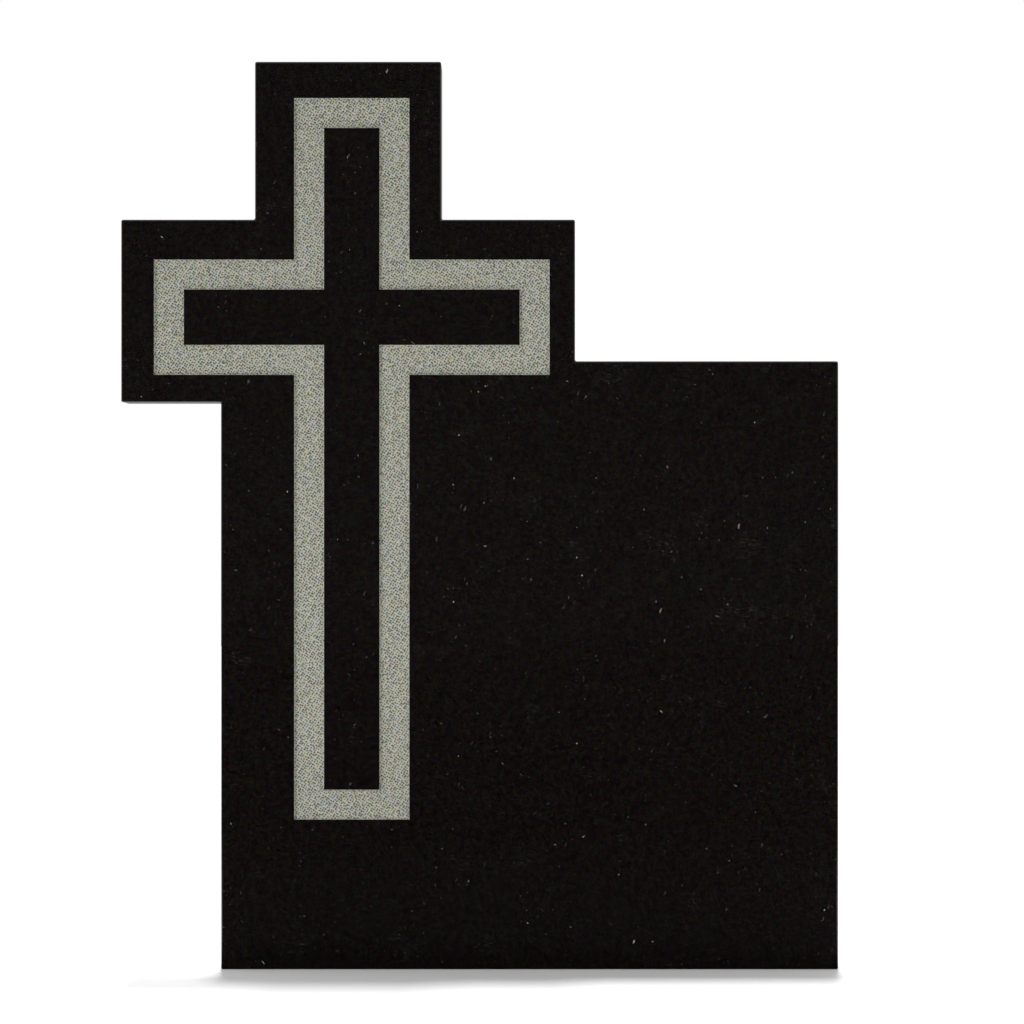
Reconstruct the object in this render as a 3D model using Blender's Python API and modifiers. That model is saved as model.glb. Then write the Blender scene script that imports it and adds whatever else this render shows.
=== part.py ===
"""Upright grave monument in polished black granite, in metres, +Z up, with its front facing -Y.

One slab: a plain block, and a Latin cross that grows out of the block's upper left and reaches
past its left side. A sand-blasted line, sunk into the front, follows the cross like a ribbon.
The origin is the middle of the block's underside, at half the thickness.
"""

import math

import bmesh
import bpy

# The stone
THICKNESS = 0.100
ARRIS = 0.002  # flat chamfer along every edge

# The block, which carries the cross and the lettering field
BLOCK_WIDTH = 0.680
BLOCK_HEIGHT = 0.670

# The cross, seen from the front
CROSS_HEIGHT = 1.000  # from the underside of the stone to the top of the cross
POST_WIDTH = 0.205
ARM_SPAN = 0.500  # from the end of one arm to the end of the other
ARM_DEPTH = 0.201  # from the arms' underside to their top
ARM_UNDERSIDE = 0.625  # height of the arms' underside
ARM_OVERHANG = 0.110  # how far the left arm reaches past the block's left side

# The blasted line: a ribbon that keeps these margins to the edges of the cross,
# and is then set a little to the right and down
LINE_WIDTH = 0.033
LINE_SINK = 0.003  # how far its floor lies behind the polished face
LINE_COVE = 0.0012  # rounding where its floor meets its walls
LINE_FOOT = 0.165  # height of its lower end
POST_MARGIN = 0.039
ARM_MARGIN = 0.037
HEAD_MARGIN = 0.033
ARM_END_MARGIN = 0.032
LINE_SHIFT_RIGHT = 0.004
LINE_SHIFT_DOWN = 0.007

# Where the cutter for the line starts, in front of the polished face
CUTTER_LEAD = 0.010

# Points closer than this are one point
WELD = 0.00001

POLISHED_BLACK = (0.0060, 0.0050, 0.0047, 1.0)
BLASTED_GREY = (0.304, 0.306, 0.260, 1.0)


def clear_scene():
    """Empties the scene that the script runs in."""
    for old in list(bpy.data.objects):
        bpy.data.objects.remove(old, do_unlink=True)


def new_collection(name):
    """A collection of its own in the scene."""
    collection = bpy.data.collections.new(name)
    bpy.context.scene.collection.children.link(collection)
    return collection


def put_in(collection, obj):
    """Moves an object from the collections that it is in to this one."""
    for other in list(obj.users_collection):
        other.objects.unlink(obj)
    collection.objects.link(obj)


def granite(name, colour, roughness):
    """A stone finish: one stone, polished or blasted."""
    material = bpy.data.materials.new(name)
    material.use_nodes = True
    shader = material.node_tree.nodes["Principled BSDF"]
    shader.inputs["Base Color"].default_value = colour
    shader.inputs["Roughness"].default_value = roughness
    shader.inputs["Metallic"].default_value = 0.0
    material.diffuse_color = colour
    return material


def slab(name, left, right, bottom, top, material):
    """A box as thick as the stone, given by its edges as seen from the front."""
    bpy.ops.mesh.primitive_cube_add(
        size=1.0,
        location=((left + right) / 2, 0.0, (bottom + top) / 2),
        scale=(right - left, THICKNESS, top - bottom),
    )
    box = bpy.context.object
    box.name = name
    bpy.ops.object.transform_apply(location=False, rotation=False, scale=True)
    box.data.materials.append(material)
    return box


def as_helper(obj, collection):
    """Keeps a shape that only joins or cuts another out of the finished part."""
    put_in(collection, obj)
    obj.hide_render = True
    obj.display_type = "WIRE"
    return obj


def cross_points(edges, inset):
    """The twelve corners of a Latin cross as seen from the front, all its sides moved in by inset."""
    left, right = edges["left"] + inset, edges["right"] - inset
    bottom, top = edges["bottom"] + inset, edges["top"] - inset
    post_left, post_right = edges["post_left"] + inset, edges["post_right"] - inset
    arm_bottom, arm_top = edges["arm_bottom"] + inset, edges["arm_top"] - inset
    return [
        (post_left, bottom),
        (post_right, bottom),
        (post_right, arm_bottom),
        (right, arm_bottom),
        (right, arm_top),
        (post_right, arm_top),
        (post_right, top),
        (post_left, top),
        (post_left, arm_top),
        (left, arm_top),
        (left, arm_bottom),
        (post_left, arm_bottom),
    ]


def cross_edges():
    """The edges of the cross itself: x to the right, height upwards."""
    left = -BLOCK_WIDTH / 2 - ARM_OVERHANG
    middle = left + ARM_SPAN / 2
    return {
        "left": left,
        "right": left + ARM_SPAN,
        "bottom": 0.0,
        "top": CROSS_HEIGHT,
        "post_left": middle - POST_WIDTH / 2,
        "post_right": middle + POST_WIDTH / 2,
        "arm_bottom": ARM_UNDERSIDE,
        "arm_top": ARM_UNDERSIDE + ARM_DEPTH,
    }


def line_edges(cross):
    """The outer edges of the blasted line, from the cross that it follows."""
    return {
        "left": cross["left"] + ARM_END_MARGIN + LINE_SHIFT_RIGHT,
        "right": cross["right"] - ARM_END_MARGIN + LINE_SHIFT_RIGHT,
        "bottom": LINE_FOOT,
        "top": cross["top"] - HEAD_MARGIN - LINE_SHIFT_DOWN,
        "post_left": cross["post_left"] + POST_MARGIN + LINE_SHIFT_RIGHT,
        "post_right": cross["post_right"] - POST_MARGIN + LINE_SHIFT_RIGHT,
        "arm_bottom": cross["arm_bottom"] + ARM_MARGIN - LINE_SHIFT_DOWN,
        "arm_top": cross["arm_top"] - ARM_MARGIN - LINE_SHIFT_DOWN,
    }


def closed_spline(curve, points):
    """Adds a closed run of straight sides to a flat curve."""
    spline = curve.splines.new("POLY")
    spline.points.add(len(points) - 1)
    for point, (x, height) in zip(spline.points, points):
        point.co = (x, height, 0.0, 1.0)
    spline.use_cyclic_u = True


def line_cutter(cross, material):
    """The ribbon-shaped cutter for the line, rounded where it makes the foot of the walls."""
    length = CUTTER_LEAD + LINE_SINK
    curve = bpy.data.curves.new("line cutter", "CURVE")
    curve.dimensions = "2D"
    curve.fill_mode = "BOTH"
    curve.extrude = length / 2 - LINE_COVE
    curve.bevel_depth = LINE_COVE
    curve.bevel_resolution = 1
    curve.offset = -LINE_COVE
    outer = line_edges(cross)
    closed_spline(curve, cross_points(outer, 0.0))
    closed_spline(curve, cross_points(outer, LINE_WIDTH))

    flat = bpy.data.objects.new("line outline", curve)
    bpy.context.scene.collection.objects.link(flat)
    flat.location = (0.0, -THICKNESS / 2 + LINE_SINK - length / 2, 0.0)
    flat.rotation_euler = (math.radians(90), 0.0, 0.0)
    bpy.context.view_layer.update()

    graph = bpy.context.evaluated_depsgraph_get()
    mesh = bpy.data.meshes.new_from_object(flat.evaluated_get(graph))
    shape = bmesh.new()
    shape.from_mesh(mesh)
    bmesh.ops.remove_doubles(shape, verts=shape.verts, dist=WELD)
    bmesh.ops.recalc_face_normals(shape, faces=shape.faces)
    shape.to_mesh(mesh)
    shape.free()
    mesh.materials.append(material)

    cutter = bpy.data.objects.new("line cutter", mesh)
    bpy.context.scene.collection.objects.link(cutter)
    cutter.matrix_world = flat.matrix_world
    bpy.data.objects.remove(flat, do_unlink=True)
    return cutter


def add_boolean(obj, name, operation, other):
    """Joins another shape to the object, or cuts it away. Its faces keep their own finish."""
    boolean = obj.modifiers.new(name, "BOOLEAN")
    boolean.operation = operation
    boolean.solver = "EXACT"
    boolean.material_mode = "TRANSFER"
    boolean.object = other


def headstone(part, helpers):
    """The stone: block, post and arms in one, with its arrises taken off and the line sunk."""
    polished = granite("polished black granite", POLISHED_BLACK, 0.06)
    blasted = granite("blasted granite", BLASTED_GREY, 0.85)
    cross = cross_edges()

    stone = slab("headstone", -BLOCK_WIDTH / 2, BLOCK_WIDTH / 2, 0.0, BLOCK_HEIGHT, polished)
    put_in(part, stone)
    post = slab(
        "cross post", cross["post_left"], cross["post_right"], cross["bottom"], cross["top"], polished
    )
    arms = slab(
        "cross arms", cross["left"], cross["right"], cross["arm_bottom"], cross["arm_top"], polished
    )
    add_boolean(stone, "join post", "UNION", as_helper(post, helpers))
    add_boolean(stone, "join arms", "UNION", as_helper(arms, helpers))

    flush = stone.modifiers.new("one face each side", "DECIMATE")
    flush.decimate_type = "DISSOLVE"
    flush.angle_limit = math.radians(1)

    arris = stone.modifiers.new("arris", "BEVEL")
    arris.width = ARRIS
    arris.segments = 1
    arris.limit_method = "ANGLE"
    arris.angle_limit = math.radians(30)

    add_boolean(stone, "sink the line", "DIFFERENCE", as_helper(line_cutter(cross, blasted), helpers))
    return stone


def main():
    clear_scene()
    part = new_collection("grave monument")
    helpers = new_collection("joining and cutting shapes")
    headstone(part, helpers)


main()
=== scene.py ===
"""Looks of an upright grave monument in polished black granite, in metres, +Z up, front facing -Y.

The stone is modelled as one piece: a slab cut to the outline of a block with a Latin cross at its
upper left, softened arrises, a sand-blasted line with a pitted floor, and a sawn underside.
"""

import math

import bmesh
import bpy
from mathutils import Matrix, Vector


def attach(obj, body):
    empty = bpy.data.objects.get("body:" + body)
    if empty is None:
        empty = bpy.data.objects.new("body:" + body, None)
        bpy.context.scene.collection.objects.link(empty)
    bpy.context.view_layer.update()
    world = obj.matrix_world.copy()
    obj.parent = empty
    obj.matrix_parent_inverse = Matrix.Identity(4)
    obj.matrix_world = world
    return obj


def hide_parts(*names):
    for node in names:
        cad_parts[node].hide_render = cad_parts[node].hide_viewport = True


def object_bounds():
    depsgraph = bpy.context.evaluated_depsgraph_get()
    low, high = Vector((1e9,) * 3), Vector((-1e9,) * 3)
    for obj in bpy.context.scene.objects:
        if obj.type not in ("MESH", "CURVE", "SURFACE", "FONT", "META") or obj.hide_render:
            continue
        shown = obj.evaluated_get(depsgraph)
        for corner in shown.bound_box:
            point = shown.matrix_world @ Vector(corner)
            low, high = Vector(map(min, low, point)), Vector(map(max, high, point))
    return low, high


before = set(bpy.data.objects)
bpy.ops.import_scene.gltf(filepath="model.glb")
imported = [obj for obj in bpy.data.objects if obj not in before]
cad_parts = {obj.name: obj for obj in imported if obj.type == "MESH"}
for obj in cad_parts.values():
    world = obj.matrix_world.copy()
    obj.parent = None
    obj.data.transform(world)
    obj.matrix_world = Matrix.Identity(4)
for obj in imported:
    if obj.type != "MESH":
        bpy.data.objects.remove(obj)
cad_low, cad_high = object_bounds()

# The outline, seen from the front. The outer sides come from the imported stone.
BLOCK_WIDTH = 0.680
BLOCK_HEIGHT = 0.670
POST_WIDTH = 0.205
ARM_SPAN = 0.500  # from the end of one arm to the end of the other
ARM_DEPTH = 0.201  # from the arms' underside to their top
ARM_UNDERSIDE = 0.625  # height of the arms' underside
ARRIS = 0.002  # how far the softened edges cut back
ARRIS_STEPS = 3

# The blasted line, which keeps these margins to the cross and is set a little right and down
LINE_WIDTH = 0.033
LINE_SINK = 0.003  # how far its floor lies behind the polished face
LINE_FOOT = 0.165  # height of its lower end
POST_MARGIN = 0.039
ARM_MARGIN = 0.037
HEAD_MARGIN = 0.033
ARM_END_MARGIN = 0.032
LINE_SHIFT_RIGHT = 0.004
LINE_SHIFT_DOWN = 0.007
WALL_LEAN = 0.0003  # how far a wall of the line leans in over its height
COVE = 0.0012  # hollow rounding where the walls meet the floor
COVE_STEPS = 3

# The pitted floor of the line
CELL = 0.033  # side of the squares that the floor is first cut into
CELL_CUTS = 21
PIT_SIZE = 0.0031
PIT_DEPTH = 0.0003
PIT_REST = 0.45  # share of the pits' depth that stands proud of the smooth floor
PITTED_COVE = 0.7  # share of the cove, from the floor up, that is pitted too
GRIT = 0.00012  # random lift of single points
GRIT_SEED = 7

# How closely a face or an edge has to match to be picked or shaded as one, angles in degrees
SQUARE_ON = 0.999  # cosine of the lean up to which a face counts as looking straight one way
ON_FACE = 0.0002
SAME_DEPTH = 0.000002
ONE_PLANE = 1.0
ROUNDED = 35.0

# The stone's material slots. The polish is slot 0.
BLASTED = 1
SAWN = 2

# The polished finish: sizes of its grains and marks, its tones, and its gloss
FINE_GRAIN = 0.0013
COARSE_GRAIN = 0.0035
COARSE_TURN = (20.0, 35.0, 50.0)  # degrees, so that the rows of the two grains don't line up
BLACK_PATCH = 0.0055  # soft patches of warmer and cooler black
BLACK_DEEP = (0.0036, 0.0026, 0.0024, 1.0)
BLACK_LIGHT = (0.0093, 0.0073, 0.0068, 1.0)
BLACK_SWINGS = (0.55, 0.40, 0.70)  # how far red, green and blue swing up and down
CROWD = 0.045  # patches where the flecks and the scuffs gather
ROUGH_FINEST = 0.035
ROUGH_COARSEST = 0.075
ROUGH_SCUFF = 1.5  # roughness that a full scuff adds
SHINE_LEAST = 0.46
SHINE_MOST = 0.60
SWELL = 0.12  # slow waves that the polishing leaves
SWELL_DEPTH = 0.00006

# The pale mineral flecks in the polish: round dots, and laths in three directions
FLECK = (0.50, 0.48, 0.45, 1.0)
FLECK_FAINTEST = 0.033  # strength of the faintest fleck. A few reach 1.
FLECK_SMALLEST = 0.45  # size of the smallest fleck, as a share of the largest
FLECK_WAVER = 0.0040  # size of the bends that make the flecks uneven
FLECK_WAVER_REACH = 0.0011
DOT_SPACING = 0.0068
DOT_SHARE = 0.42  # share of the grains that show one
DOT_REACH = 0.0012
LATHS = ((24.0, 0.0150), (-52.0, 0.0145), (97.0, 0.0155))  # lean in degrees, and spacing
LATH_SHARE = 0.08
LATH_REACH = 0.0036
LATH_SLIMNESS = 0.30  # width of a lath, as a share of its length

# The faint scuffs in the polish
SCUFF = (0.12, 0.115, 0.11, 1.0)
SCUFF_WIDTH = 0.0016
SCUFF_LENGTH = 4.0  # in widths
SCUFF_LEAN = 8.0  # degrees
SCUFF_STRENGTH = 0.16

# The blasted finish of the line
BLASTED_DARK = (0.030, 0.029, 0.025, 1.0)
BLASTED_PALE = (0.568, 0.574, 0.481, 1.0)
BLASTED_SWINGS = (0.14, 0.10, 0.20)
BLASTED_PATCH = 0.0032
DARK_GRAIN = 0.0028  # spacing of the dark grains
DARK_SCATTER = 0.42  # how far they stray from even rows, where 1 is a whole spacing
DARK_LEAN = 33.0  # lean of their rows, in degrees
GRAIN_WAVER = 0.0016
GRAIN_WAVER_REACH = 0.0004
SPECK = 0.0012
FROST = 0.0008
BRUISE_DEPTH = 0.0002

# The sawn finish of the underside
SAWN_DARK = (0.030, 0.029, 0.028, 1.0)
SAWN_PALE = (0.085, 0.083, 0.079, 1.0)
SAWN_GRAIN = 0.0014
SAW_MARK = 0.0022
SAW_MARK_LENGTH = 60.0  # in widths
SAW_MARK_LEAN = 4.0  # degrees
SAW_MARK_DEPTH = 0.0003

# The photograph's frame on the stone's front face
FRAME_WIDTH = 1.1282
FRAME_MIDDLE_X = -0.0194
FRAME_MIDDLE_Z = 0.5039
LENS_MM = 200.0
SENSOR_MM = 36.0
SIGHT = 100.0  # how far the camera sees

# The floor. Distances are from the middle of the stone's underside.
FLOOR_SIZE = 30.0
FLOOR_TONE = 0.88
NEAR_FLOOR = 0.5
FAR_FLOOR = 1.5
PAINTED_FAR_SHADE = 0.52  # how light the far floor is painted for the light it throws on the stone, as a share of the near floor: painted shade
# What the polish shows of the floor, painted into the floor's colour for reflections only: a painted
# pool of light that fades outwards, and a painted dark strip before the front
PAINTED_LIGHT_FROM = 0.2
PAINTED_LIGHT_TO = 3.4
PAINTED_LIGHT_BRIGHT = 0.68
PAINTED_LIGHT_FAINT = 0.041
PAINTED_DARK_BAND = 0.38  # half the width of the painted dark strip before the front, a painted dark reflection
PAINTED_DARK_BAND_END = 0.66  # half the width where it has ended
PAINTED_DARK_BAND_FLARE = 0.1  # how much it widens each way for each metre forward
PAINTED_DARK_BAND_TONE = 0.02

# The room round the stone, and the dark card before its face
ROOM_LOW = 0.26
ROOM_HIGH = 0.60
CARD_WHOLE = 0.95  # cosine of the angle from straight ahead within which the card is whole
CARD_END = 0.80  # cosine of the angle by which it has faded out
CARD_COVER = 0.92

# The lamps, angles in degrees. Azimuth 0 is behind the camera and 90 at the right.
KEY_AZIMUTH = 180.0
KEY_ELEVATION = 71.5
KEY_DISTANCE = 60.0  # so far off that it lights the whole floor alike
KEY_WIDTH = 4.6
KEY_DEPTH = 20.5
KEY_STRENGTH = 1.53
FILL_AZIMUTH = -48.0
FILL_ELEVATION = 22.0
FILL_STRENGTH = 0.30
FILL_SOFTNESS = 9.0


def cross_edges():
    """The edges of the cross itself: x to the right, height upwards."""
    middle = cad_low.x + ARM_SPAN / 2
    return {
        "left": cad_low.x,
        "right": cad_low.x + ARM_SPAN,
        "bottom": cad_low.z,
        "top": cad_high.z,
        "post_left": middle - POST_WIDTH / 2,
        "post_right": middle + POST_WIDTH / 2,
        "arm_bottom": ARM_UNDERSIDE,
        "arm_top": ARM_UNDERSIDE + ARM_DEPTH,
    }


def line_edges(cross):
    """The outer edges of the blasted line, from the cross that it follows."""
    return {
        "left": cross["left"] + ARM_END_MARGIN + LINE_SHIFT_RIGHT,
        "right": cross["right"] - ARM_END_MARGIN + LINE_SHIFT_RIGHT,
        "bottom": LINE_FOOT,
        "top": cross["top"] - HEAD_MARGIN - LINE_SHIFT_DOWN,
        "post_left": cross["post_left"] + POST_MARGIN + LINE_SHIFT_RIGHT,
        "post_right": cross["post_right"] - POST_MARGIN + LINE_SHIFT_RIGHT,
        "arm_bottom": cross["arm_bottom"] + ARM_MARGIN - LINE_SHIFT_DOWN,
        "arm_top": cross["arm_top"] - ARM_MARGIN - LINE_SHIFT_DOWN,
    }


def moved_in(edges, inset):
    """The same cross with all its sides moved in."""
    low_sides = ("left", "bottom", "post_left", "arm_bottom")
    return {side: at + inset if side in low_sides else at - inset for side, at in edges.items()}


def in_cross(edges, x, z):
    """Whether a point of the front lies inside a Latin cross."""
    in_post = edges["post_left"] < x < edges["post_right"] and edges["bottom"] < z < edges["top"]
    in_arms = edges["left"] < x < edges["right"] and edges["arm_bottom"] < z < edges["arm_top"]
    return in_post or in_arms


def across(edges):
    """Where the upright edges of a cross are."""
    return [edges["left"], edges["post_left"], edges["post_right"], edges["right"]]


def upward(edges):
    """Where the level edges of a cross are."""
    return [edges["bottom"], edges["arm_bottom"], edges["arm_top"], edges["top"]]


def between(stops):
    """Even places between neighbouring stops, about one cell apart."""
    places = []
    for low, high in zip(stops, stops[1:]):
        count = max(1, round((high - low) / CELL))
        places += [low + (high - low) * step / count for step in range(1, count)]
    return places


def pick_faces(obj, test):
    """In edit mode, selects exactly the faces that pass the test."""
    bpy.ops.mesh.select_mode(type="FACE")
    bpy.ops.mesh.select_all(action="DESELECT")
    shape = bmesh.from_edit_mesh(obj.data)
    for face in shape.faces:
        face.select_set(test(face))
    bmesh.update_edit_mesh(obj.data)


def pick_edges(obj, test):
    """In edit mode, selects exactly the edges that pass the test."""
    bpy.ops.mesh.select_mode(type="EDGE")
    bpy.ops.mesh.select_all(action="DESELECT")
    shape = bmesh.from_edit_mesh(obj.data)
    for edge in shape.edges:
        edge.select_set(test(edge))
    bmesh.update_edit_mesh(obj.data)


def cut_faces(obj, test, places_x, places_z):
    """Cuts the faces that pass the test along upright and level planes."""
    planes = [((x, 0.0, 0.0), (1.0, 0.0, 0.0)) for x in places_x]
    planes += [((0.0, 0.0, z), (0.0, 0.0, 1.0)) for z in places_z]
    for place, normal in planes:
        pick_faces(obj, test)
        bpy.ops.mesh.bisect(plane_co=place, plane_no=normal)


def sawn_slab(cross):
    """A sheet cut to the outline, drawn out to the stone's thickness, with its edges softened."""
    width, thickness, height = cad_high - cad_low
    bpy.ops.object.select_all(action="DESELECT")
    bpy.ops.mesh.primitive_plane_add(
        size=1.0,
        location=(cad_low.x + width / 2, cad_low.y, cad_low.z + height / 2),
        rotation=(math.radians(90), 0.0, 0.0),
    )
    stone = bpy.context.object
    stone.name = "granite_headstone"
    stone.scale = (width, height, 1.0)
    bpy.ops.object.transform_apply(location=True, rotation=True, scale=True)

    block_left = cad_high.x - BLOCK_WIDTH

    def outside(face):
        x, z = face.calc_center_median().xz
        return not in_cross(cross, x, z) and not (x > block_left and z < BLOCK_HEIGHT)

    bpy.ops.object.mode_set(mode="EDIT")
    places_x = [block_left, cross["post_left"], cross["post_right"], cross["right"]]
    places_z = [cross["arm_bottom"], BLOCK_HEIGHT, cross["arm_top"]]
    cut_faces(stone, lambda face: True, places_x, places_z)
    pick_faces(stone, outside)
    bpy.ops.mesh.delete(type="FACE")
    bpy.ops.mesh.select_all(action="SELECT")
    bpy.ops.mesh.dissolve_limited(angle_limit=math.radians(ONE_PLANE))
    bpy.ops.mesh.select_all(action="SELECT")
    bpy.ops.mesh.extrude_region_move(TRANSFORM_OT_translate={"value": (0.0, thickness, 0.0)})
    bpy.ops.mesh.select_all(action="SELECT")
    bpy.ops.mesh.normals_make_consistent(inside=False)
    bpy.ops.mesh.bevel(offset=ARRIS, segments=ARRIS_STEPS, affect="EDGES")
    bpy.ops.object.mode_set(mode="OBJECT")
    return stone


def sink_line(stone, outer):
    """Sinks the blasted line into the front face, with steep walls and a cove along their foot."""
    inner = moved_in(outer, LINE_WIDTH)

    def on_front(face):
        return face.normal.y < -SQUARE_ON and face.calc_center_median().y < cad_low.y + ON_FACE

    def on_line(face):
        x, z = face.calc_center_median().xz
        return on_front(face) and in_cross(outer, x, z) and not in_cross(inner, x, z)

    def along_line(edge):
        level = abs(edge.verts[0].co.y - edge.verts[1].co.y) < SAME_DEPTH
        return level and any(face.material_index == BLASTED for face in edge.link_faces)

    bpy.ops.object.mode_set(mode="EDIT")
    stops_x = sorted(across(outer) + across(inner))
    stops_z = sorted(upward(outer) + upward(inner))
    cut_faces(stone, on_front, stops_x, stops_z)
    cut_faces(stone, on_line, between(stops_x), between(stops_z))

    pick_faces(stone, on_line)
    stone.active_material_index = BLASTED
    bpy.ops.object.material_slot_assign()
    bpy.ops.mesh.inset(thickness=WALL_LEAN, depth=COVE - LINE_SINK)
    for step in range(COVE_STEPS):
        before = math.radians(90) * step / COVE_STEPS
        after = math.radians(90) * (step + 1) / COVE_STEPS
        inward = COVE * (math.cos(before) - math.cos(after))
        down = COVE * (math.sin(after) - math.sin(before))
        bpy.ops.mesh.inset(thickness=inward, depth=-down)

    pick_edges(stone, along_line)
    bpy.ops.mesh.subdivide(number_cuts=CELL_CUTS)
    bpy.ops.object.mode_set(mode="OBJECT")


def pit_floor(stone):
    """Roughens the line's floor and cove, as the blast leaves them."""
    deep = cad_low.y + LINE_SINK - COVE * PITTED_COVE
    points = stone.data.vertices
    on_floor = set()
    for face in stone.data.polygons:
        if face.material_index == BLASTED:
            on_floor.update(corner for corner in face.vertices if points[corner].co.y > deep)
    sunk = stone.vertex_groups.new(name="line floor")
    sunk.add(sorted(on_floor), 1.0, "REPLACE")

    grains = bpy.data.textures.new("blasted grains", "VORONOI")
    grains.noise_scale = PIT_SIZE
    pits = stone.modifiers.new("pits", "DISPLACE")
    pits.texture = grains
    pits.vertex_group = sunk.name
    pits.direction = "Y"
    pits.mid_level = PIT_REST
    pits.strength = PIT_DEPTH
    bpy.ops.object.modifier_apply(modifier=pits.name)

    stone.vertex_groups.active_index = sunk.index
    bpy.ops.object.mode_set(mode="EDIT")
    bpy.ops.mesh.select_mode(type="VERT")
    bpy.ops.mesh.select_all(action="DESELECT")
    bpy.ops.object.vertex_group_select()
    bpy.ops.transform.vertex_random(offset=GRIT, uniform=1.0, normal=1.0, seed=GRIT_SEED)
    bpy.ops.object.mode_set(mode="OBJECT")


def saw_underside(stone):
    """Gives the face that the stone stands on its own finish."""

    def on_underside(face):
        return face.normal.z < -SQUARE_ON and face.calc_center_median().z < ARRIS

    bpy.ops.object.mode_set(mode="EDIT")
    pick_faces(stone, on_underside)
    stone.active_material_index = SAWN
    bpy.ops.object.material_slot_assign()
    bpy.ops.object.mode_set(mode="OBJECT")


def soften_shading(stone):
    """Shades the arrises round and keeps the large faces flat."""
    bpy.ops.object.shade_smooth_by_angle(angle=math.radians(ROUNDED))
    flats = stone.modifiers.new("flat faces", "WEIGHTED_NORMAL")
    flats.keep_sharp = True
    flats.weight = 100
    bpy.ops.object.modifier_apply(modifier=flats.name)


def feed(tree, target, value):
    """Links a node's input to an output, or gives it a plain value."""
    if isinstance(value, bpy.types.NodeSocket):
        tree.links.new(value, target)
    else:
        target.default_value = value


def maths(tree, operation, *numbers):
    """A sum, product or other operation on two numbers, or on several in turn."""
    result = numbers[0]
    for number in numbers[1:]:
        node = tree.nodes.new("ShaderNodeMath")
        node.operation = operation
        feed(tree, node.inputs[0], result)
        feed(tree, node.inputs[1], number)
        result = node.outputs[0]
    return result


def shares(tree, *parts):
    """The sum of several numbers, each taken by its share."""
    return maths(tree, "ADD", *[maths(tree, "MULTIPLY", number, share) for number, share in parts])


def unsigned(tree, number):
    """A number without its sign."""
    node = tree.nodes.new("ShaderNodeMath")
    node.operation = "ABSOLUTE"
    feed(tree, node.inputs[0], number)
    return node.outputs[0]


def spread(tree, value, low, high, to_low=0.0, to_high=1.0):
    """Maps low to high onto to_low to to_high with a soft start and end."""
    node = tree.nodes.new("ShaderNodeMapRange")
    node.interpolation_type = "SMOOTHSTEP"
    inputs = {"Value": value, "From Min": low, "From Max": high, "To Min": to_low, "To Max": to_high}
    for name, number in inputs.items():
        feed(tree, node.inputs[name], number)
    return node.outputs["Result"]


def mixed(tree, factor, first, second, blend="MIX"):
    """One colour over another."""
    node = tree.nodes.new("ShaderNodeMix")
    node.data_type = "RGBA"
    node.blend_type = blend
    feed(tree, node.inputs[0], factor)
    feed(tree, node.inputs[6], first)
    feed(tree, node.inputs[7], second)
    return node.outputs[2]


def grey(tree, value):
    """A number as a grey colour."""
    node = tree.nodes.new("ShaderNodeCombineColor")
    for channel in node.inputs:
        feed(tree, channel, value)
    return node.outputs[0]


def stone_place(tree):
    """Object coordinates, centred on the stone."""
    place = tree.nodes.new("ShaderNodeTexCoord")
    centred = tree.nodes.new("ShaderNodeMapping")
    middle = (cad_low + cad_high) / 2
    centred.inputs["Location"].default_value = (-middle.x, -middle.y, -middle.z)
    tree.links.new(place.outputs["Object"], centred.inputs["Vector"])
    return centred.outputs["Vector"]


def turned(tree, place, angles, stretch=(1.0, 1.0, 1.0), start=(0.0, 0.0, 0.0)):
    """Coordinates turned, in degrees, and stretched, that start at another point."""
    node = tree.nodes.new("ShaderNodeMapping")
    node.vector_type = "TEXTURE"
    node.inputs["Location"].default_value = start
    node.inputs["Rotation"].default_value = [math.radians(angle) for angle in angles]
    node.inputs["Scale"].default_value = stretch
    tree.links.new(place, node.inputs["Vector"])
    return node.outputs["Vector"]


def wavering(tree, place, size, reach):
    """Coordinates pushed to and fro by soft noise, by up to about this reach."""
    centred = tree.nodes.new("ShaderNodeVectorMath")
    centred.operation = "SUBTRACT"
    tree.links.new(noise(tree, place, size, 1.0).outputs["Color"], centred.inputs[0])
    centred.inputs[1].default_value = (0.5, 0.5, 0.5)
    pushed = tree.nodes.new("ShaderNodeVectorMath")
    pushed.operation = "MULTIPLY_ADD"
    tree.links.new(centred.outputs[0], pushed.inputs[0])
    pushed.inputs[1].default_value = (4 * reach, 4 * reach, 4 * reach)
    tree.links.new(place, pushed.inputs[2])
    return pushed.outputs[0]


def crystals(tree, place, size, scatter=1.0):
    """Grains of a mean size: how far the nearest one's middle is, in sizes, and three random numbers."""
    node = tree.nodes.new("ShaderNodeTexVoronoi")
    node.inputs["Scale"].default_value = 1 / size
    node.inputs["Randomness"].default_value = scatter
    tree.links.new(place, node.inputs["Vector"])
    parts = tree.nodes.new("ShaderNodeSeparateColor")
    tree.links.new(node.outputs["Color"], parts.inputs[0])
    return node.outputs["Distance"], parts.outputs


def noise(tree, place, size, detail):
    """Soft noise with lumps of a mean size."""
    node = tree.nodes.new("ShaderNodeTexNoise")
    node.inputs["Scale"].default_value = 1 / size
    node.inputs["Detail"].default_value = detail
    tree.links.new(place, node.inputs["Vector"])
    return node


def cloud(tree, place, size, detail=2.0):
    """Soft noise from 0 to 1."""
    return noise(tree, place, size, detail).outputs["Fac"]


def lumps(tree, place, size, detail):
    """Three soft noises from 0 to 1."""
    parts = tree.nodes.new("ShaderNodeSeparateColor")
    tree.links.new(noise(tree, place, size, detail).outputs["Color"], parts.inputs[0])
    return parts.outputs


def tinted(tree, colour, numbers, swings):
    """A colour whose channels swing up and down with three numbers from 0 to 1."""
    tint = tree.nodes.new("ShaderNodeCombineColor")
    for channel, number, swing in zip(tint.inputs, numbers, swings):
        feed(tree, channel, spread(tree, number, 0.2, 0.8, 1.0 - swing, 1.0 + swing))
    return mixed(tree, 1.0, colour, tint.outputs[0], "MULTIPLY")


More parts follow.
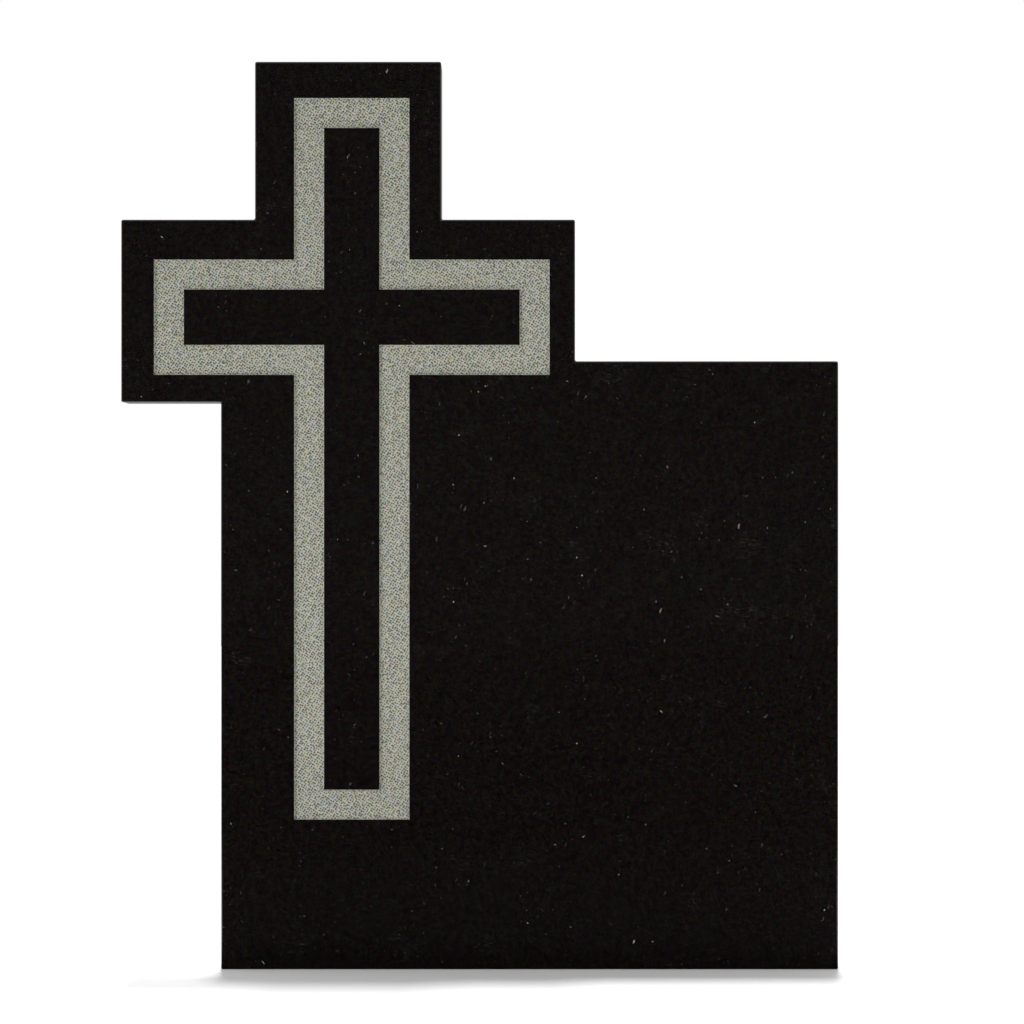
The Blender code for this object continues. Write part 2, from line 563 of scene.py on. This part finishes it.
def relief(tree, height, depth):
    """Bump whose height runs from 0 to 1 over a depth in metres."""
    node = tree.nodes.new("ShaderNodeBump")
    node.inputs["Distance"].default_value = depth
    tree.links.new(height, node.inputs["Height"])
    return node.outputs["Normal"]


def new_finish(name):
    """A material, its tree and its shader."""
    material = bpy.data.materials.new(name)
    material.use_nodes = True
    return material, material.node_tree, material.node_tree.nodes["Principled BSDF"]


def black_crystals(tree, place, fine, coarse):
    """Black that changes from grain to grain, and softly from patch to patch."""
    soft = lumps(tree, place, BLACK_PATCH, 3.0)
    tone = shares(tree, (fine[0], 0.45), (coarse[0], 0.25), (soft[1], 0.30))
    black = mixed(tree, spread(tree, tone, 0.2, 0.85), BLACK_DEEP, BLACK_LIGHT)
    return tinted(tree, black, soft, BLACK_SWINGS)


def flecks(tree, place, spacing, share, reach):
    """Pale mineral flecks: a share of the grains shows a dot of at most this reach at its middle."""
    distance, chance = crystals(tree, place, spacing)
    size = spread(tree, chance[1], 0.0, 1.0, FLECK_SMALLEST, 1.0)
    size = maths(tree, "MULTIPLY", size, reach / spacing)
    dot = spread(tree, maths(tree, "DIVIDE", distance, size), 0.45, 1.0, 1.0, 0.0)
    chosen = maths(tree, "GREATER_THAN", chance[0], 1.0 - share)
    strength = maths(tree, "MULTIPLY", maths(tree, "POWER", chance[2], -0.8), FLECK_FAINTEST)
    strength = maths(tree, "MINIMUM", strength, 1.0)
    return maths(tree, "MULTIPLY", dot, chosen, strength)


def laths(tree, place, lean, spacing):
    """Flecks drawn out into short strokes that lean over by an angle, in degrees."""
    drawn_out = turned(tree, place, (0.0, lean, 0.0), (LATH_SLIMNESS, LATH_SLIMNESS, 1.0))
    return flecks(tree, drawn_out, spacing, LATH_SHARE, LATH_REACH)


def pale_minerals(tree, place, crowd):
    """All the flecks, stronger where they gather."""
    uneven = wavering(tree, place, FLECK_WAVER, FLECK_WAVER_REACH)
    kinds = [flecks(tree, uneven, DOT_SPACING, DOT_SHARE, DOT_REACH)]
    kinds += [laths(tree, uneven, lean, spacing) for lean, spacing in LATHS]
    gathered = spread(tree, crowd, 0.36, 0.60, 0.15, 1.0)
    return maths(tree, "MULTIPLY", maths(tree, "MAXIMUM", *kinds), gathered)


def scuffs(tree, place, crowd):
    """Faint, nearly level strokes in the places where they gather."""
    along = turned(tree, place, (0.0, SCUFF_LEAN, 0.0), (SCUFF_LENGTH, 1.0, 1.0))
    strokes = spread(tree, cloud(tree, along, SCUFF_WIDTH), 0.5, 0.75)
    gathered = spread(tree, crowd, 0.57, 0.74)
    return maths(tree, "MULTIPLY", gathered, strokes, SCUFF_STRENGTH)


def polished_granite():
    """Fine black crystals under a mirror polish, with a few pale flecks and faint scuffs."""
    material, tree, shader = new_finish("polished black granite")
    place = stone_place(tree)
    fine = crystals(tree, place, FINE_GRAIN)[1]
    coarse = crystals(tree, turned(tree, place, COARSE_TURN), COARSE_GRAIN)[1]
    crowd = cloud(tree, place, CROWD, 3.0)
    haze = scuffs(tree, place, crowd)
    colour = mixed(tree, haze, black_crystals(tree, place, fine, coarse), SCUFF)
    colour = mixed(tree, pale_minerals(tree, place, crowd), colour, FLECK)
    feed(tree, shader.inputs["Base Color"], colour)

    rough = spread(tree, fine[1], 0.0, 1.0, ROUGH_FINEST, ROUGH_COARSEST)
    rough = maths(tree, "ADD", rough, maths(tree, "MULTIPLY", haze, ROUGH_SCUFF))
    feed(tree, shader.inputs["Roughness"], rough)
    shine = shares(tree, (coarse[1], 0.5), (fine[2], 1.0))
    shine = spread(tree, shine, 0.1, 1.5, SHINE_LEAST, SHINE_MOST)
    feed(tree, shader.inputs["Specular IOR Level"], shine)
    shader.inputs["IOR"].default_value = 1.55
    feed(tree, shader.inputs["Normal"], relief(tree, cloud(tree, place, SWELL, 1.0), SWELL_DEPTH))
    return material


def blasted_granite():
    """The same stone bruised to a matt grey: dark grains scattered in pale ones. One layer of the
    dark grains lies in the line's floor."""
    material, tree, shader = new_finish("blasted granite")
    place = stone_place(tree)
    uneven = wavering(tree, place, GRAIN_WAVER, GRAIN_WAVER_REACH)
    layer = cad_low.y + LINE_SINK - DARK_GRAIN * DARK_SCATTER / 2
    rows = turned(tree, uneven, (0.0, DARK_LEAN, 0.0), start=(0.0, layer, 0.0))
    distance, chance = crystals(tree, rows, DARK_GRAIN, DARK_SCATTER)
    reach = spread(tree, chance[0], 0.0, 1.0, 1.05, 0.80)
    pale = spread(tree, maths(tree, "MULTIPLY", distance, reach), 0.24, 0.42)
    specks = crystals(tree, uneven, SPECK)[1][0]
    frost = cloud(tree, place, FROST)
    light = shares(tree, (pale, 0.70), (specks, 0.22), (frost, 0.08))
    colour = mixed(tree, light, BLASTED_DARK, BLASTED_PALE)
    colour = tinted(tree, colour, lumps(tree, place, BLASTED_PATCH, 1.0), BLASTED_SWINGS)
    feed(tree, shader.inputs["Base Color"], colour)
    shader.inputs["Roughness"].default_value = 0.88
    shader.inputs["IOR"].default_value = 1.5
    feed(tree, shader.inputs["Normal"], relief(tree, specks, BRUISE_DEPTH))
    return material


def sawn_granite():
    """The face that the stone stands on, left as the saw made it."""
    material, tree, shader = new_finish("sawn granite")
    place = stone_place(tree)
    grain = crystals(tree, place, SAWN_GRAIN)[1][0]
    along = turned(tree, place, (0.0, 0.0, SAW_MARK_LEAN), (SAW_MARK_LENGTH, 1.0, 1.0))
    marks = cloud(tree, along, SAW_MARK, 3.0)
    tone = shares(tree, (grain, 0.4), (marks, 0.6))
    feed(tree, shader.inputs["Base Color"], mixed(tree, tone, SAWN_DARK, SAWN_PALE))
    shader.inputs["Roughness"].default_value = 0.7
    feed(tree, shader.inputs["Normal"], relief(tree, marks, SAW_MARK_DEPTH))
    return material


def make_stone():
    """The whole stone, from the sawn slab to its finishes."""
    cross = cross_edges()
    stone = sawn_slab(cross)
    for finish in (polished_granite(), blasted_granite(), sawn_granite()):
        stone.data.materials.append(finish)
    sink_line(stone, line_edges(cross))
    pit_floor(stone)
    saw_underside(stone)
    soften_shading(stone)
    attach(stone, "root")
    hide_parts("headstone")


def make_camera():
    """A long lens, square to the front, that frames the stone as the photograph does."""
    lens = bpy.data.cameras.new("camera")
    lens.lens = LENS_MM
    lens.sensor_width = SENSOR_MM
    lens.clip_end = SIGHT
    camera = bpy.data.objects.new("camera", lens)
    bpy.context.scene.collection.objects.link(camera)
    distance = FRAME_WIDTH * LENS_MM / SENSOR_MM
    camera.location = (FRAME_MIDDLE_X, cad_low.y - distance, FRAME_MIDDLE_Z)
    camera.rotation_euler = (math.radians(90), 0.0, 0.0)
    bpy.context.scene.camera = camera


def painted_floor_reflection(tree, parts, reach):
    """The floor as the polish shows it, painted into its colour for reflections only: a painted pool of
    light that fades outwards, with a painted dark strip straight before the front."""
    painted_light = spread(tree, reach, PAINTED_LIGHT_FROM, PAINTED_LIGHT_TO, PAINTED_LIGHT_BRIGHT, PAINTED_LIGHT_FAINT)
    flare = maths(tree, "MULTIPLY", parts.outputs["Y"], PAINTED_DARK_BAND_FLARE)
    sideways = maths(tree, "ADD", unsigned(tree, parts.outputs["X"]), flare)
    aside = spread(tree, sideways, PAINTED_DARK_BAND, PAINTED_DARK_BAND_END)
    behind = spread(tree, parts.outputs["Y"], cad_low.y + ARRIS, cad_low.y + 2 * ARRIS)
    # Painted dark reflection: the strip before the front is painted dark, apart from the floor behind
    # the front
    painted_dark_mask = maths(tree, "MAXIMUM", aside, behind, PAINTED_DARK_BAND_TONE)
    return grey(tree, maths(tree, "MULTIPLY", painted_light, painted_dark_mask, FLOOR_TONE))


def white_floor():
    """Plain white for the camera. What lights the stone from it comes mostly from close by, as the far
    floor is painted darker in the light it throws back: painted shade.
    """
    material, tree, shader = new_finish("white floor")
    place = tree.nodes.new("ShaderNodeTexCoord").outputs["Object"]
    parts = tree.nodes.new("ShaderNodeSeparateXYZ")
    tree.links.new(place, parts.inputs[0])
    length = tree.nodes.new("ShaderNodeVectorMath")
    length.operation = "LENGTH"
    tree.links.new(place, length.inputs[0])
    reach = length.outputs["Value"]

    plain = (FLOOR_TONE, FLOOR_TONE, FLOOR_TONE, 1.0)
    painted_far_shade = PAINTED_FAR_SHADE * FLOOR_TONE
    bounce_with_painted_shade = grey(tree, spread(tree, reach, NEAR_FLOOR, FAR_FLOOR, FLOOR_TONE, painted_far_shade))
    ray = tree.nodes.new("ShaderNodeLightPath")
    # Painted shade: for the light the floor throws back, it is painted darker further from the stone
    tone = mixed(tree, ray.outputs["Is Diffuse Ray"], plain, bounce_with_painted_shade)
    # For glossy rays the floor's colour is a painted reflection: a painted pool of light and a painted
    # dark strip
    tone = mixed(tree, ray.outputs["Is Glossy Ray"], tone, painted_floor_reflection(tree, parts, reach))
    feed(tree, shader.inputs["Base Color"], tone)
    shader.inputs["Roughness"].default_value = 1.0
    shader.inputs["Specular IOR Level"].default_value = 0.0
    return material


def make_floor():
    """A wide pale floor under the stone."""
    bpy.ops.object.select_all(action="DESELECT")
    bpy.ops.mesh.primitive_plane_add(size=FLOOR_SIZE)
    floor = bpy.context.object
    floor.name = "studio_floor"
    floor.data.materials.append(white_floor())


def hang_lamp(light, azimuth, elevation, distance=0.0):
    """Aims a light at the stone's middle and keeps it out of the polish."""
    lamp = bpy.data.objects.new(light.name, light)
    bpy.context.scene.collection.objects.link(lamp)
    lamp.rotation_euler = (math.radians(90 - elevation), 0.0, math.radians(azimuth))
    backward = lamp.rotation_euler.to_matrix().col[2]
    lamp.location = (cad_low + cad_high) / 2 + backward * distance
    lamp.visible_glossy = False
    lamp.visible_camera = False


def make_key_light():
    """A narrow and deep lamp: its shadows are clear at the stone's sides and fade out before it,
    and what is small and high, such as the arm, hardly casts one."""
    light = bpy.data.lights.new("key light from above and behind", "AREA")
    light.shape = "RECTANGLE"
    light.size = KEY_WIDTH
    light.size_y = KEY_DEPTH
    light.energy = KEY_STRENGTH * (math.pi * KEY_DISTANCE) ** 2
    hang_lamp(light, KEY_AZIMUTH, KEY_ELEVATION, KEY_DISTANCE)


def make_fill_light():
    """A soft light from far off, which lifts the stone's face."""
    light = bpy.data.lights.new("fill light from the left", "SUN")
    light.energy = FILL_STRENGTH * math.pi
    light.angle = math.radians(FILL_SOFTNESS)
    hang_lamp(light, FILL_AZIMUTH, FILL_ELEVATION)


def room_tone(tree):
    """A soft pale room, darker below, with a dark card before the stone's face."""
    looking = tree.nodes.new("ShaderNodeTexCoord")
    parts = tree.nodes.new("ShaderNodeSeparateXYZ")
    tree.links.new(looking.outputs["Generated"], parts.inputs[0])
    room = spread(tree, parts.outputs["Z"], -0.1, 0.9, ROOM_LOW, ROOM_HIGH)
    forward = maths(tree, "MULTIPLY", parts.outputs["Y"], -1.0)
    card = spread(tree, forward, CARD_END, CARD_WHOLE)
    left_over = maths(tree, "SUBTRACT", 1.0, maths(tree, "MULTIPLY", card, CARD_COVER))
    return grey(tree, maths(tree, "MULTIPLY", room, left_over))


def make_surroundings():
    """White for the camera, and a room of its own for the stone."""
    world = bpy.data.worlds.new("studio")
    bpy.context.scene.world = world
    world.use_nodes = True
    tree = world.node_tree
    tree.nodes.clear()
    room = tree.nodes.new("ShaderNodeBackground")
    feed(tree, room.inputs["Color"], room_tone(tree))
    white = tree.nodes.new("ShaderNodeBackground")
    white.inputs["Color"].default_value = (1.0, 1.0, 1.0, 1.0)
    ray = tree.nodes.new("ShaderNodeLightPath")
    both = tree.nodes.new("ShaderNodeMixShader")
    tree.links.new(ray.outputs["Is Camera Ray"], both.inputs["Fac"])
    tree.links.new(room.outputs[0], both.inputs[1])
    tree.links.new(white.outputs[0], both.inputs[2])
    output = tree.nodes.new("ShaderNodeOutputWorld")
    tree.links.new(both.outputs[0], output.inputs["Surface"])


make_stone()
make_camera()
make_floor()
make_key_light()
make_fill_light()
make_surroundings()
bpy.context.scene.view_settings.view_transform = "Standard"
